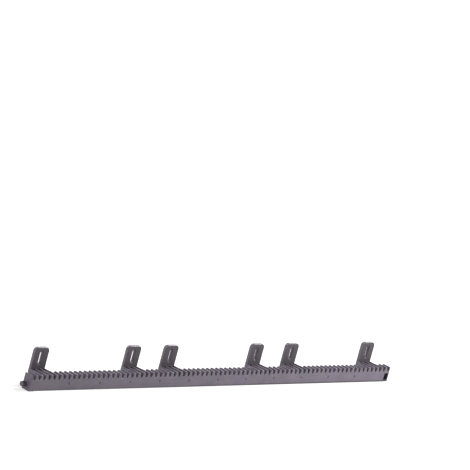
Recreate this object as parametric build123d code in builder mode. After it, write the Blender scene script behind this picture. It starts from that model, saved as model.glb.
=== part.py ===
"""Gear rack for a sliding gate: a bar about a metre long with module 4 teeth and six slotted lugs.

The rack is one moulding. X runs along the rack, the teeth point up (+Z) and the gate stands behind it (+Y).
The origin is the middle of the bar's flat underside. Millimetres.
"""

import os
from math import pi, radians, tan

from build123d import *

# Teeth: the straight-sided profile that a module 4 pinion runs on
module = 4.0
tooth_count = 79
pressure_angle = 20.0
addendum = 1.0 * module
dedendum = 1.25 * module
pitch = pi * module
root_round = 0.9
tip_bevel = 0.4

# Bar: both ends are cut through the middle of a tooth, so the pitch carries on into the next rack
bar_length = tooth_count * pitch
bar_depth = 20.0
bar_height = 30.0
bevel_depth = 2.0
bevel_height = 3.0
bevel_start = 12.0
corner_round = 1.5

# Lugs: plates that stand up behind the bar, counted in whole teeth from each other
lug_width = 36.0
lug_thickness = 6.5
lug_top = 70.0
lug_standoff = 13.0
lug_corner_round = 7.5
lug_edge_bevel = 0.8
gaps_before_first_lug = 3
tooth_counts_between_lugs = (19, 8, 19, 8, 18)

# Bridges: what carries each lug from the bar's back, cut off steeply below the lug
bridge_heel_drop = 5.0
bridge_keel_drop = 24.0
bridge_keel_reach = 11.0

# Fixing slots
slot_width = 7.5
slot_length = 25.0
slot_top_margin = 7.5
slot_bevel = 0.6

# Joint to the next rack: a peg at the left end, a pocket with a hole to it at the right end
peg_radius = 4.8
peg_length = 10.0
peg_bevel = 1.0
peg_height = 10.5
peg_from_front = 13.5
peg_clearance = 0.3
pocket_end_wall = 3.0
pocket_margin = 2.2
pocket_reach = 2.0

# Places that follow from the sizes
left_x = -bar_length / 2
right_x = bar_length / 2
front_y = -bar_depth / 2
back_y = bar_depth / 2
tooth_height = addendum + dedendum
root_z = bar_height - tooth_height
flank_slope = tan(radians(pressure_angle))
half_gap_at_tip = pitch / 4 + addendum * flank_slope
half_gap_at_root = pitch / 4 - dedendum * flank_slope
lug_front_y = back_y + lug_standoff
lug_back_y = lug_front_y + lug_thickness
slot_z = lug_top - slot_top_margin - slot_length / 2
peg_y = front_y + peg_from_front
pocket_length = peg_length - pocket_end_wall + 2 * pocket_reach
pocket_height = 2 * (peg_radius + pocket_margin)
pocket_depth = peg_from_front + peg_radius + peg_clearance
pocket_x = right_x - pocket_end_wall - pocket_length / 2

# Gaps start half a pitch in from the left end
first_gap_x = left_x + pitch / 2

# Lugs stand centred behind a gap, as many as the bar has room for
lug_xs = [first_gap_x + gaps_before_first_lug * pitch]
for count in tooth_counts_between_lugs:
    next_x = lug_xs[-1] + count * pitch
    if next_x + lug_width / 2 < right_x:
        lug_xs.append(next_x)

# One tooth gap: straight flanks, rounded root corners, and the bevels of the two tips beside it
with BuildSketch() as tooth_gap:
    with BuildLine():
        Polyline(
            (-half_gap_at_root, 0),
            (half_gap_at_root, 0),
            (half_gap_at_tip - tip_bevel * flank_slope, tooth_height - tip_bevel),
            (half_gap_at_tip + tip_bevel, tooth_height),
            (-half_gap_at_tip - tip_bevel, tooth_height),
            (-half_gap_at_tip + tip_bevel * flank_slope, tooth_height - tip_bevel),
            close=True,
        )
    make_face()
    root_corners = tooth_gap.vertices().group_by(Axis.Y)[0]
    fillet(root_corners, radius=root_round)

with BuildPart() as gear_rack:
    # Bar: plain section, upright corners rounded, lower front edge bevelled all but the block at the peg
    with BuildSketch(Plane.YZ.offset(left_x)):
        with Locations((0, bar_height / 2)):
            Rectangle(bar_depth, bar_height)
    extrude(amount=bar_length)
    fillet(gear_rack.edges().filter_by(Axis.Z), radius=corner_round)
    with BuildSketch(Plane.YZ.offset(left_x + bevel_start)):
        with BuildLine():
            Polyline((front_y, 0), (front_y + bevel_depth, 0), (front_y, bevel_height), close=True)
        make_face()
    extrude(amount=bar_length - bevel_start, mode=Mode.SUBTRACT)

    # Lugs and their bridges: one side profile, pulled along the rack at each lug
    for lug_x in lug_xs:
        with BuildSketch(Plane.YZ.offset(lug_x - lug_width / 2)):
            with BuildLine():
                Polyline(
                    (back_y - corner_round, bar_height),
                    (lug_front_y, bar_height),
                    (lug_front_y, lug_top),
                    (lug_back_y, lug_top),
                    (lug_back_y, bar_height - bridge_heel_drop),
                    (back_y + bridge_keel_reach, bar_height - bridge_keel_drop),
                    (back_y - corner_round, bar_height - bridge_keel_drop),
                    close=True,
                )
            make_face()
        extrude(amount=lug_width)

    # Lugs: big rounds at their upper corners, then a small bevel along their outlines, front and back
    upper_corners = gear_rack.edges().filter_by(Axis.Y).group_by(Axis.Z)[-1]
    fillet(upper_corners, radius=lug_corner_round)
    lug_faces = gear_rack.faces().filter_by(Axis.Y).filter_by_position(Axis.Y, lug_front_y, lug_back_y)
    outline = lug_faces.edges().filter_by_position(Axis.Z, bar_height, lug_top, inclusive=(False, True))
    chamfer(outline, length=lug_edge_bevel)

    # Fixing slots, upright, with both mouths bevelled
    with BuildSketch(Plane.XZ.offset(-lug_back_y)):
        for lug_x in lug_xs:
            with Locations((lug_x, slot_z)):
                SlotOverall(slot_length, slot_width, rotation=90)
    extrude(amount=lug_thickness, mode=Mode.SUBTRACT)
    slotted_faces = gear_rack.faces().filter_by(Axis.Y).filter_by_position(Axis.Y, lug_front_y, lug_back_y)
    slot_mouths = [edge for face in slotted_faces for wire in face.inner_wires() for edge in wire.edges()]
    chamfer(slot_mouths, length=slot_bevel)

    # Joining peg on the left end, its rim bevelled
    with BuildSketch(Plane.YZ.offset(left_x)):
        with Locations((peg_y, peg_height)):
            Circle(peg_radius)
    extrude(amount=-peg_length)
    peg_rim = gear_rack.faces().sort_by(Axis.X)[0].edges()
    chamfer(peg_rim, length=peg_bevel)

    # Joining pocket in the front at the right end, and the hole through which the next peg enters it
    with BuildSketch(Plane.XZ.offset(-front_y)):
        with Locations((pocket_x, peg_height)):
            Rectangle(pocket_length, pocket_height)
    extrude(amount=-pocket_depth, mode=Mode.SUBTRACT)
    with BuildSketch(Plane.YZ.offset(right_x)):
        with Locations((peg_y, peg_height)):
            Circle(peg_radius + peg_clearance)
    extrude(amount=-pocket_end_wall, mode=Mode.SUBTRACT)

    # Tooth gaps run across the bar and the bridges, up to the lugs' front faces
    with BuildSketch(Plane.XZ.offset(-lug_front_y)):
        with Locations((0, root_z)):
            with GridLocations(pitch, 1, tooth_count, 1):
                add(tooth_gap.sketch)
    extrude(amount=lug_front_y - front_y, mode=Mode.SUBTRACT)

os.makedirs("parts", exist_ok=True)
gear_rack.part.label = "gear_rack"
export_step(gear_rack.part, "parts/gear_rack.step")
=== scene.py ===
import math

import bmesh
import bpy
from mathutils import Matrix, Vector


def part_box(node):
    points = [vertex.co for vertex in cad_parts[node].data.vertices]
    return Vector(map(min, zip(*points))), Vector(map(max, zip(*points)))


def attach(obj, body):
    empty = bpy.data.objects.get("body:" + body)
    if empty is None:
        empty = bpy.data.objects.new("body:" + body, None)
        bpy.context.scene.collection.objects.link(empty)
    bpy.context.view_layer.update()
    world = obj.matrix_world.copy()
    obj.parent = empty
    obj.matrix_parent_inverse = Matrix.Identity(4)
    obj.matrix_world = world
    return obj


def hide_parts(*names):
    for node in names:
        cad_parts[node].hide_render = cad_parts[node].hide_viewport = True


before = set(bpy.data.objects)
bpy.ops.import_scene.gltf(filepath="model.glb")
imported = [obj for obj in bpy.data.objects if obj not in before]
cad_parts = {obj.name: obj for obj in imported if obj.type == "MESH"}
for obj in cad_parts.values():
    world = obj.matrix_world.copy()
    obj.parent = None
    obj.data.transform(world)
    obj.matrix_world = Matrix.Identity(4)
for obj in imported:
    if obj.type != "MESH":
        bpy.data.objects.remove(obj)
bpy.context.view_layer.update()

# The rack: a single injection moulding of nylon filled with 30 percent glass fibre, dyed through in a dark
# purplish grey. The mould's ejector pins leave a row of shallow round dents along the bar's front and back.
# It is screwed to a gate through the slots in its six lugs.

BAR_DEPTH = 0.020
LUG_THICKNESS = 0.0065
rack_low, rack_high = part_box("gear_rack")
bar_front_y = rack_low[1]
bar_back_y = bar_front_y + BAR_DEPTH
lug_front_y = rack_high[1] - LUG_THICKNESS

# Ejector pin dents. The back row is spaced a little wider, which keeps its pins clear of the bridges
FIRST_PIN_X = -0.400
PIN_COUNT = 11
PIN_RADIUS = 0.0024
PIN_DEPTH = 0.0009
PIN_SIDES = 24
FRONT_SPACING = 0.0791
FRONT_PIN_Z = 0.0130
BACK_SPACING = 0.0815
BACK_PIN_Z = 0.0150

# The mesh of a CAD node is loose triangles, so a copy of it is merged first
MERGE_DISTANCE = 1e-6
rack_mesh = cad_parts["gear_rack"].data.copy()
merged = bmesh.new()
merged.from_mesh(rack_mesh)
bmesh.ops.remove_doubles(merged, verts=merged.verts, dist=MERGE_DISTANCE)
merged.to_mesh(rack_mesh)
merged.free()
rack = bpy.data.objects.new("rack_moulding", rack_mesh)
bpy.context.scene.collection.objects.link(rack)


def linear(hex_colour):
    """An sRGB hex colour as linear RGBA."""
    channels = [int(hex_colour[i:i + 2], 16) / 255 for i in (1, 3, 5)]
    return [c / 12.92 if c <= 0.04045 else ((c + 0.055) / 1.055) ** 2.4 for c in channels] + [1.0]


def add_node(tree, kind, inputs=None, **settings):
    """Adds a node, applies its settings, and fills its inputs with values or links from other sockets."""
    node = tree.nodes.new(kind)
    for name, value in settings.items():
        setattr(node, name, value)
    for name, value in (inputs or {}).items():
        socket = node.inputs[name]
        if isinstance(value, bpy.types.NodeSocket):
            tree.links.new(value, socket)
        else:
            socket.default_value = value
    return node


# Glass-filled nylon, moulded in a spark-eroded tool: satin with a fine grain. The melt's flow shows as faint
# clouds and streaks along the bar, and the edges are painted lighter, a painted highlight
CLOUD_DARK = "#544b5b"
CLOUD_LIGHT = "#625767"
STREAK_COLOUR = "#70676e"
PAINTED_EDGE_HIGHLIGHT = "#ada3a8"
NYLON_IOR = 1.53
SATIN_ROUGHNESS = (0.30, 0.42)

# Sizes of the patterns. The real grain is about 0.1 mm, and it is drawn coarser so that it shows
CLOUD_MM = 25.0
STREAK_MM = 3.03
STREAK_STRETCH = 10.0
GRAIN_MM = 0.8
FLOW_RELIEF_MM = 0.3
GRAIN_RELIEF_MM = 0.2

# How much of a noise's range a pattern takes up, and how far a full streak covers the clouds
NOISE_RANGE = (0.3, 0.7)
STREAK_RANGE = (0.45, 0.75)
STREAK_COVER = 0.45

# A Mix node's sockets for colours: share, first colour, second colour, result
SHARE = 0
FIRST = 6
SECOND = 7
RESULT = 2

nylon = bpy.data.materials.new("glass_filled_nylon")
nylon.use_nodes = True
tree = nylon.node_tree
tree.nodes.clear()
place = add_node(tree, "ShaderNodeTexCoord").outputs["Object"]
normal = add_node(tree, "ShaderNodeNewGeometry").outputs["Normal"]

clouds = add_node(tree, "ShaderNodeTexNoise",
                  {"Vector": place, "Scale": 1000 / CLOUD_MM, "Detail": 3.0,
                   "Roughness": 0.55}).outputs["Fac"]
along_bar = add_node(tree, "ShaderNodeMapping",
                     {"Vector": place, "Scale": (1 / STREAK_STRETCH, 1.0, 1.0)}).outputs["Vector"]
streaks = add_node(tree, "ShaderNodeTexNoise",
                   {"Vector": along_bar, "Scale": 1000 / STREAK_MM, "Detail": 4.0,
                    "Roughness": 0.6}).outputs["Fac"]
grain = add_node(tree, "ShaderNodeTexNoise",
                 {"Vector": place, "Scale": 1000 / GRAIN_MM, "Detail": 2.0,
                  "Roughness": 0.5}).outputs["Fac"]

cloud_share = add_node(tree, "ShaderNodeMapRange",
                       {"Value": clouds, "From Min": NOISE_RANGE[0], "From Max": NOISE_RANGE[1]})
clouded = add_node(tree, "ShaderNodeMix",
                   {SHARE: cloud_share.outputs["Result"], FIRST: linear(CLOUD_DARK),
                    SECOND: linear(CLOUD_LIGHT)},
                   data_type="RGBA")
streak_share = add_node(tree, "ShaderNodeMapRange",
                        {"Value": streaks, "From Min": STREAK_RANGE[0], "From Max": STREAK_RANGE[1],
                         "To Min": 0.0, "To Max": STREAK_COVER})
streaked = add_node(tree, "ShaderNodeMix",
                    {SHARE: streak_share.outputs["Result"], FIRST: clouded.outputs[RESULT],
                     SECOND: linear(STREAK_COLOUR)},
                    data_type="RGBA")

# Edges: where the surface turns within this distance it is painted lighter, a painted highlight. The two
# cosines are of the turn at which the painted highlight starts and is full
EDGE_MM = 0.6
HIGHLIGHT_COSINES = (0.98, 0.75)
HIGHLIGHT_COVER = 0.6
rounded = add_node(tree, "ShaderNodeBevel", {"Radius": EDGE_MM / 1000}, samples=6).outputs["Normal"]
turn = add_node(tree, "ShaderNodeVectorMath", {0: rounded, 1: normal}, operation="DOT_PRODUCT")
highlight_share = add_node(tree, "ShaderNodeMapRange",
                        {"Value": turn.outputs["Value"], "From Min": HIGHLIGHT_COSINES[0],
                         "From Max": HIGHLIGHT_COSINES[1], "To Min": 0.0, "To Max": HIGHLIGHT_COVER})
# Painted highlight: the colour is mixed lighter along the edges
highlighted = add_node(tree, "ShaderNodeMix",
                    {SHARE: highlight_share.outputs["Result"], FIRST: streaked.outputs[RESULT],
                     SECOND: linear(PAINTED_EDGE_HIGHLIGHT)},
                    data_type="RGBA")

# Shaded faces: the lugs' flat faces and the undersides carry painted shade, a darker colour, and are also
# more matt. A pair holds the part of a face's normal at which it starts to count and the one at which it
# counts in full: across the bar for a lug's plate, upwards for an underside
PAINTED_SHADE_TINT = "#857e87"
COARSE_ROUGHNESS = 0.6
PLATE_FADE = 0.0006
PLATE_SLANTS = (0.80, 0.95)
UNDERSIDE_SLANTS = (-0.3, -0.5)
axes = add_node(tree, "ShaderNodeSeparateXYZ", {"Vector": place})
facing = add_node(tree, "ShaderNodeSeparateXYZ", {"Vector": normal})
on_lug = add_node(tree, "ShaderNodeMapRange",
                  {"Value": axes.outputs["Y"], "From Min": lug_front_y - PLATE_FADE,
                   "From Max": lug_front_y})
across_bar = add_node(tree, "ShaderNodeMath", {0: facing.outputs["Y"]}, operation="ABSOLUTE").outputs[0]
upright = add_node(tree, "ShaderNodeMapRange",
                   {"Value": across_bar, "From Min": PLATE_SLANTS[0], "From Max": PLATE_SLANTS[1]})
shaded_plates = add_node(tree, "ShaderNodeMath", {0: on_lug.outputs["Result"], 1: upright.outputs["Result"]},
                  operation="MULTIPLY").outputs[0]
shaded_undersides = add_node(tree, "ShaderNodeMapRange",
                      {"Value": facing.outputs["Z"], "From Min": UNDERSIDE_SLANTS[0],
                       "From Max": UNDERSIDE_SLANTS[1]}).outputs["Result"]
shade_and_matt = add_node(tree, "ShaderNodeMath", {0: shaded_plates, 1: shaded_undersides}, operation="MAXIMUM").outputs[0]
# Painted shade: the colour is multiplied darker on the lugs' plates and on the undersides
colour = add_node(tree, "ShaderNodeMix",
                  {SHARE: shade_and_matt, FIRST: highlighted.outputs[RESULT], SECOND: linear(PAINTED_SHADE_TINT)},
                  data_type="RGBA", blend_type="MULTIPLY").outputs[RESULT]

satin = add_node(tree, "ShaderNodeMapRange",
                 {"Value": streaks, "From Min": NOISE_RANGE[0], "From Max": NOISE_RANGE[1],
                  "To Min": SATIN_ROUGHNESS[0], "To Max": SATIN_ROUGHNESS[1]}).outputs["Result"]
matt = add_node(tree, "ShaderNodeMath", {0: shade_and_matt, 1: COARSE_ROUGHNESS}, operation="MULTIPLY").outputs[0]
roughness = add_node(tree, "ShaderNodeMath", {0: satin, 1: matt}, operation="MAXIMUM").outputs[0]
flow_bump = add_node(tree, "ShaderNodeBump",
                     {"Height": streaks, "Strength": 0.25, "Distance": FLOW_RELIEF_MM / 1000,
                      "Normal": rounded}).outputs["Normal"]
grain_bump = add_node(tree, "ShaderNodeBump",
                      {"Height": grain, "Strength": 0.35, "Distance": GRAIN_RELIEF_MM / 1000,
                       "Normal": flow_bump}).outputs["Normal"]
shader = add_node(tree, "ShaderNodeBsdfPrincipled",
                  {"Base Color": colour, "Roughness": roughness, "IOR": NYLON_IOR, "Normal": grain_bump})
add_node(tree, "ShaderNodeOutputMaterial", {"Surface": shader.outputs["BSDF"]})

rack_mesh.materials.clear()
rack_mesh.materials.append(nylon)

# The dents are cut by a row of short round pins, once in the bar's front and once in its back
dents = bpy.data.node_groups.new("ejector_pin_dents", "GeometryNodeTree")
for direction in ("INPUT", "OUTPUT"):
    dents.interface.new_socket("Geometry", in_out=direction, socket_type="NodeSocketGeometry")
pin_sizes = {"Start X": FIRST_PIN_X, "Count": PIN_COUNT, "Radius": PIN_RADIUS, "Depth": PIN_DEPTH,
             "Front Spacing": FRONT_SPACING, "Front Y": bar_front_y, "Front Z": FRONT_PIN_Z,
             "Back Spacing": BACK_SPACING, "Back Y": bar_back_y, "Back Z": BACK_PIN_Z}
sockets = {}
for name in pin_sizes:
    number = "NodeSocketInt" if name == "Count" else "NodeSocketFloat"
    sockets[name] = dents.interface.new_socket(name, in_out="INPUT", socket_type=number)
given = add_node(dents, "NodeGroupInput").outputs

# A pin stands out of the bar as far as it reaches in, so it is twice as long as its dent is deep
pin_length = add_node(dents, "ShaderNodeMath", {0: given["Depth"], 1: 2.0}, operation="MULTIPLY").outputs[0]
pin = add_node(dents, "GeometryNodeMeshCylinder",
               {"Vertices": PIN_SIDES, "Radius": given["Radius"], "Depth": pin_length}).outputs["Mesh"]
lying_pin = add_node(dents, "GeometryNodeTransform",
                     {"Geometry": pin, "Rotation": (math.pi / 2, 0, 0)}).outputs["Geometry"]
rows = add_node(dents, "GeometryNodeJoinGeometry")
for side in ("Front", "Back"):
    start = add_node(dents, "ShaderNodeCombineXYZ",
                     {"X": given["Start X"], "Y": given[side + " Y"],
                      "Z": given[side + " Z"]}).outputs["Vector"]
    step = add_node(dents, "ShaderNodeCombineXYZ", {"X": given[side + " Spacing"]}).outputs["Vector"]
    row = add_node(dents, "GeometryNodeMeshLine",
                   {"Count": given["Count"], "Start Location": start, "Offset": step}).outputs["Mesh"]
    pins = add_node(dents, "GeometryNodeInstanceOnPoints", {"Points": row, "Instance": lying_pin})
    dents.links.new(pins.outputs["Instances"], rows.inputs["Geometry"])
cutters = add_node(dents, "GeometryNodeRealizeInstances", {"Geometry": rows.outputs["Geometry"]})
cut = add_node(dents, "GeometryNodeMeshBoolean",
               {"Mesh 1": given["Geometry"], "Mesh 2": cutters.outputs["Geometry"]},
               operation="DIFFERENCE", solver="EXACT")

# Shading: an edge that turns further than the sharp angle stays crisp, the rest are parts of rounds
SHARP_ANGLE = math.radians(40)
smooth = add_node(dents, "GeometryNodeSetShadeSmooth",
                  {"Geometry": cut.outputs["Mesh"], "Shade Smooth": True})
edge_angle = add_node(dents, "GeometryNodeInputMeshEdgeAngle").outputs["Unsigned Angle"]
sharp = add_node(dents, "FunctionNodeCompare", {"A": edge_angle, "B": SHARP_ANGLE},
                 data_type="FLOAT", operation="GREATER_THAN")
creased = add_node(dents, "GeometryNodeSetShadeSmooth",
                   {"Geometry": smooth.outputs["Geometry"], "Selection": sharp.outputs["Result"],
                    "Shade Smooth": False},
                   domain="EDGE")
whole = add_node(dents, "GeometryNodeRealizeInstances", {"Geometry": creased.outputs["Geometry"]})
coated = add_node(dents, "GeometryNodeSetMaterial",
                  {"Geometry": whole.outputs["Geometry"], "Material": nylon})
add_node(dents, "NodeGroupOutput", {"Geometry": coated.outputs["Geometry"]})

modifier = rack.modifiers.new("ejector_pin_dents", "NODES")
modifier.node_group = dents
for name, value in pin_sizes.items():
    modifier[sockets[name].identifier] = value
weighting = rack.modifiers.new("flat_faces_stay_flat", "WEIGHTED_NORMAL")
weighting.keep_sharp = True
evaluated = rack.evaluated_get(bpy.context.evaluated_depsgraph_get())
dented = bpy.data.meshes.new_from_object(evaluated)
rack.modifiers.clear()
rack.data = dented
dented.name = "rack_moulding"
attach(rack, "root")
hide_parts("gear_rack")

# Floor: a plain pale sheet of matt studio paper that runs out of view on all sides. It bounces little light
# at the rack. To the camera and in reflections it glows, so that it comes out white but keeps the shadow.

FLOOR_SIDE = 80.0
FLOOR_GLOW = 0.65
PAPER_COLOUR = "#b0b0af"
PAPER_ROUGHNESS = 0.9
WHITE = "#ffffff"


def in_sight(tree):
    """A socket: 1 for the camera's rays, also those that a shiny or clear surface sends on, 0 for others."""
    rays = add_node(tree, "ShaderNodeLightPath").outputs
    sent_on = add_node(tree, "ShaderNodeMath", {0: rays["Is Glossy Ray"], 1: rays["Is Transmission Ray"]},
                       operation="MAXIMUM").outputs[0]
    return add_node(tree, "ShaderNodeMath", {0: rays["Is Camera Ray"], 1: sent_on},
                    operation="MAXIMUM").outputs[0]


bpy.ops.mesh.primitive_plane_add(size=FLOOR_SIDE)
floor = bpy.context.object
floor.name = "floor"
paper = bpy.data.materials.new("pale_paper")
paper.use_nodes = True
tree = paper.node_tree
tree.nodes.clear()
glow = add_node(tree, "ShaderNodeMath", {0: in_sight(tree), 1: FLOOR_GLOW}, operation="MULTIPLY").outputs[0]
shader = add_node(tree, "ShaderNodeBsdfPrincipled",
                  {"Base Color": linear(PAPER_COLOUR), "Roughness": PAPER_ROUGHNESS,
                   "Emission Color": linear(WHITE), "Emission Strength": glow})
add_node(tree, "ShaderNodeOutputMaterial", {"Surface": shader.outputs["BSDF"]})
floor.data.materials.append(paper)

# Light: a room that looks white but gives little light, and a strong lamp on the right, which lights the
# tooth tips and leaves the gaps in shade. A small lamp behind picks out the lugs' rounded corners, a low one
# reaches their left sides, and a soft box in front of the right end lets the front darken to the left.

ROOM_STRENGTH = 0.06
WHITE_STRENGTH = 1.0
room = bpy.data.worlds.new("white_room")
room.use_nodes = True
tree = room.node_tree
tree.nodes.clear()
strength = add_node(tree, "ShaderNodeMapRange",
                    {"Value": in_sight(tree), "To Min": ROOM_STRENGTH, "To Max": WHITE_STRENGTH})
background = add_node(tree, "ShaderNodeBackground",
                      {"Color": linear(WHITE), "Strength": strength.outputs["Result"]})
add_node(tree, "ShaderNodeOutputWorld", {"Surface": background.outputs["Background"]})
bpy.context.scene.world = room

# Far lamps: the direction each stands in, its strength, and its width in degrees, as seen from the rack
FAR_LAMPS = {
    "high_lamp": ((0.76, 0.05, 0.65), 4.8, 20.0),
    "corner_lamp": ((-0.20, 0.64, 0.74), 0.6, 8.0),
    "left_lamp": ((-0.97, 0.10, 0.20), 1.6, 20.0),
}
for name, (direction, power, width) in FAR_LAMPS.items():
    lamp_data = bpy.data.lights.new(name, "SUN")
    lamp_data.energy = power
    lamp_data.angle = math.radians(width)
    lamp = bpy.data.objects.new(name, lamp_data)
    lamp.rotation_euler = Vector(direction).to_track_quat("Z", "Y").to_euler()
    bpy.context.scene.collection.objects.link(lamp)

SOFT_BOX_PLACE = (1.15, -1.1, 0.6)
SOFT_BOX_WATTS = 26.0
SOFT_BOX_SIDE = 0.7
box_data = bpy.data.lights.new("soft_box", "AREA")
box_data.size = SOFT_BOX_SIDE
box_data.energy = SOFT_BOX_WATTS
soft_box = bpy.data.objects.new("soft_box", box_data)
soft_box.location = SOFT_BOX_PLACE
soft_box.rotation_euler = Vector(SOFT_BOX_PLACE).to_track_quat("Z", "Y").to_euler()
soft_box.visible_camera = False
bpy.context.scene.collection.objects.link(soft_box)

# Camera: far off to the rack's left end and a little above, so that the rack lies low in the frame, as in
# the photograph. Distances in metres, angles in degrees, focal length in pixels of a 470 pixel image.

IMAGE_SIDE = 470
CAMERA_PLACE = (-5.1962, -4.3551, 1.759)
LOOK_AZIMUTH = 49.748
LOOK_DOWN = 12.260
ROLL = 15.065
FOCAL_PIXELS = 3757
SENSOR_MM = 36.0
FARTHEST_SEEN = 200.0

azimuth = math.radians(LOOK_AZIMUTH)
down = math.radians(LOOK_DOWN)
forward = Vector((math.sin(azimuth) * math.cos(down), math.cos(azimuth) * math.cos(down), -math.sin(down)))
aim = forward.to_track_quat("-Z", "Y").to_matrix() @ Matrix.Rotation(math.radians(ROLL), 3, "Z")
camera_data = bpy.data.cameras.new("camera")
camera_data.sensor_width = SENSOR_MM
camera_data.lens = FOCAL_PIXELS * SENSOR_MM / IMAGE_SIDE
camera_data.clip_end = FARTHEST_SEEN
camera = bpy.data.objects.new("camera", camera_data)
camera.matrix_world = Matrix.Translation(CAMERA_PLACE) @ aim.to_4x4()
bpy.context.scene.collection.objects.link(camera)
bpy.context.scene.camera = camera
bpy.context.scene.view_settings.view_transform = "Standard"
